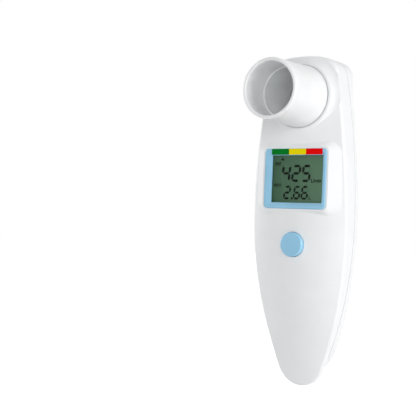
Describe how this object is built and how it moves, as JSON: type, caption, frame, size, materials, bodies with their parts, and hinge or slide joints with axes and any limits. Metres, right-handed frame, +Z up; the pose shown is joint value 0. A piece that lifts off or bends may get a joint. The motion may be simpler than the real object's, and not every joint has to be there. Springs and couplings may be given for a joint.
{
  "type": "peak flow meter",
  "caption": "Hand-held electronic peak flow meter: blade-shaped two-part case, plug-in round mouthpiece, framed display, push button, turbine duct and battery bay.",
  "frame": {"origin": "middle of the handle, on the plane where the front and the rear halves of the case meet", "axes": "+Z up the case towards the tube, -Y out of the display and the mouthpiece, +X to the right of someone who reads the display"},
  "size_m": [0.0504, 0.0538, 0.1574],
  "materials": {
    "case": "white moulded ABS, semi-gloss",
    "mouthpiece": "white moulded polypropylene, smooth",
    "seal": "black nitrile",
    "duct": "natural white acetal",
    "bearing": "polished synthetic sapphire",
    "steel": "turned stainless steel",
    "rotor": "thin black polyester vane",
    "diode": "dark infrared epoxy",
    "trim": "light blue moulded ABS, satin",
    "label": "printed film in green, yellow and red zones",
    "window": "clear polycarbonate",
    "lcd": "grey green reflective LCD glass",
    "inner_plastic": "black moulded ABS",
    "elastomer": "layered silicone connector",
    "dark_plastic": "black epoxy and thermoplastic",
    "board": "green solder mask on glass epoxy",
    "cell": "bare dark sleeve on a steel can",
    "contact_metal": "nickel-plated spring steel"
  },
  "bodies": {
    "housing": {"front_shell": "case", "rear_shell": "case", "flow_tube": "duct", "front_stator": "duct", "rear_stator": "duct", "front_bearing": "bearing", "rear_bearing": "bearing", "ir_emitter": "diode", "ir_detector": "diode", "display_bezel": "trim", "zone_label": "label", "display_window": "window", "lcd_panel": "lcd", "lcd_holder": "inner_plastic", "contact_strips": "elastomer", "tact_switch": "dark_plastic", "main_board": "board", "microcontroller": "dark_plastic", "buzzer": "dark_plastic", "chip_parts": "dark_plastic", "case_screws": "steel", "board_screws": "steel", "cell_left": "cell", "cell_right": "cell", "battery_tray": "inner_plastic", "bridge_contact": "contact_metal", "positive_contact": "contact_metal", "negative_contact": "contact_metal"},
    "mouthpiece": {"mouthpiece": "mouthpiece", "mouthpiece_seal": "seal"},
    "rotor": {"rotor_vane": "rotor", "rotor_axle": "steel"},
    "button": {"power_button": "trim", "switch_plunger": "dark_plastic"},
    "cover": {"battery_cover": "case"}
  },
  "joints": [
    {"name": "mouthpiece_pull", "type": "slide", "parent": "housing", "child": "mouthpiece", "axis": [0, -1, 0], "range_m": [0, 0.012]},
    {"name": "rotor_spin", "type": "hinge", "parent": "housing", "child": "rotor", "pos_m": [0, 0.005, 0.0893], "axis": [0, 1, 0], "continuous": true},
    {"name": "button_press", "type": "slide", "parent": "housing", "child": "button", "axis": [0, 1, 0], "range_m": [0, 0.0005], "stiffness_N_per_m": 1500},
    {"name": "cover_slide", "type": "slide", "parent": "housing", "child": "cover", "axis": [0, 0, -1], "range_m": [0, 0.062]}
  ]
}
